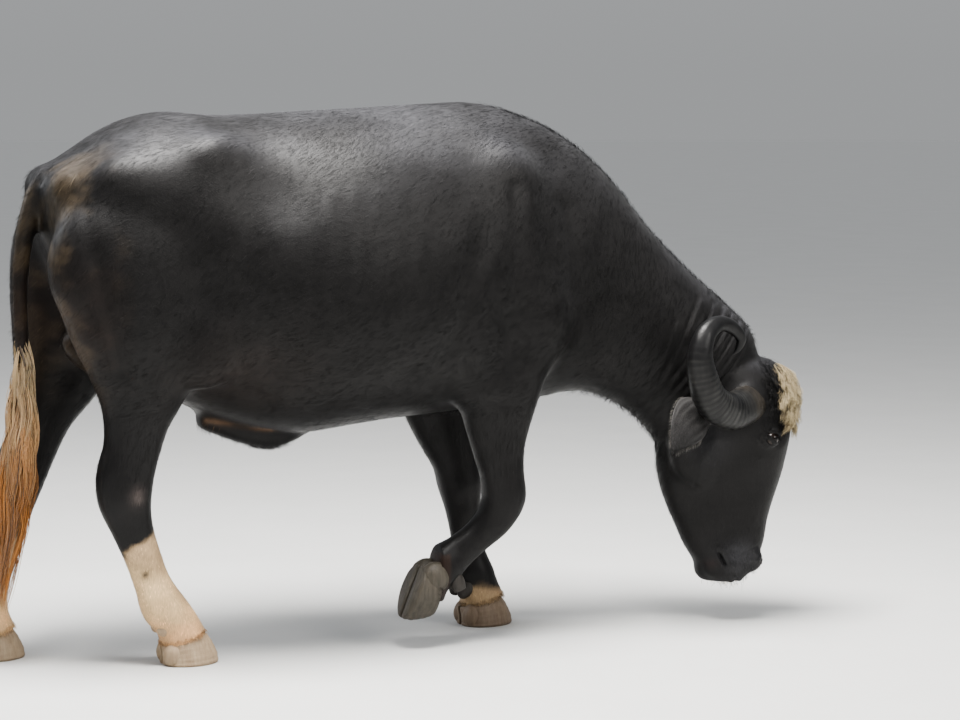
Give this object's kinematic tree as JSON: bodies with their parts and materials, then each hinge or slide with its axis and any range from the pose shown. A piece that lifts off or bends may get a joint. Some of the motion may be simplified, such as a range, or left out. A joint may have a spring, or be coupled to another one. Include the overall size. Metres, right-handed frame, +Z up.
{
  "type": "water buffalo",
  "caption": "Still life-size model of a grazing water buffalo bull in mid-step, with curled horns, drooping ears, cloven hooves and a switch-ended tail.",
  "frame": {"origin": "middle of the whole animal's length and width, on the ground plane that the hooves stand on", "axes": "+X towards the head, +Y towards the animal's left, +Z up"},
  "size_m": [2.2077, 0.7064, 1.374],
  "materials": {
    "hide": "short black hair over grey-black skin, satin",
    "sock": "short cream hair over pink skin, matt",
    "tail_hair": "long wavy hair, blond at the top and ginger towards the tips",
    "horn": "dark ringed horn, satin",
    "hoof": "grey-brown hoof horn, matt",
    "eye": "wet dark eye, glossy"
  },
  "bodies": {
    "root": {"torso": "hide", "neck": "hide", "head": "hide", "ear_right": "hide", "ear_left": "hide", "eye_right": "eye", "eye_left": "eye", "horn_right": "horn", "horn_left": "horn", "tail": "hide", "tail_switch": "tail_hair", "fore_leg_right_upper": "hide", "fore_leg_right_lower": "hide", "fore_leg_left_upper": "hide", "fore_leg_left_lower": "hide", "hind_leg_right_upper": "hide", "hind_leg_right_lower": "sock", "hind_leg_left_upper": "hide", "hind_leg_left_lower": "sock", "claw_fore_right_right": "hoof", "claw_fore_right_left": "hoof", "claw_fore_left_right": "hoof", "claw_fore_left_left": "hoof", "claw_hind_right_right": "hoof", "claw_hind_right_left": "hoof", "claw_hind_left_right": "hoof", "claw_hind_left_left": "hoof", "dewclaw_fore_right_right": "hoof", "dewclaw_fore_right_left": "hoof", "dewclaw_fore_left_right": "hoof", "dewclaw_fore_left_left": "hoof", "dewclaw_hind_right_right": "hoof", "dewclaw_hind_right_left": "hoof", "dewclaw_hind_left_right": "hoof", "dewclaw_hind_left_left": "hoof"}
  },
  "joints": []
}
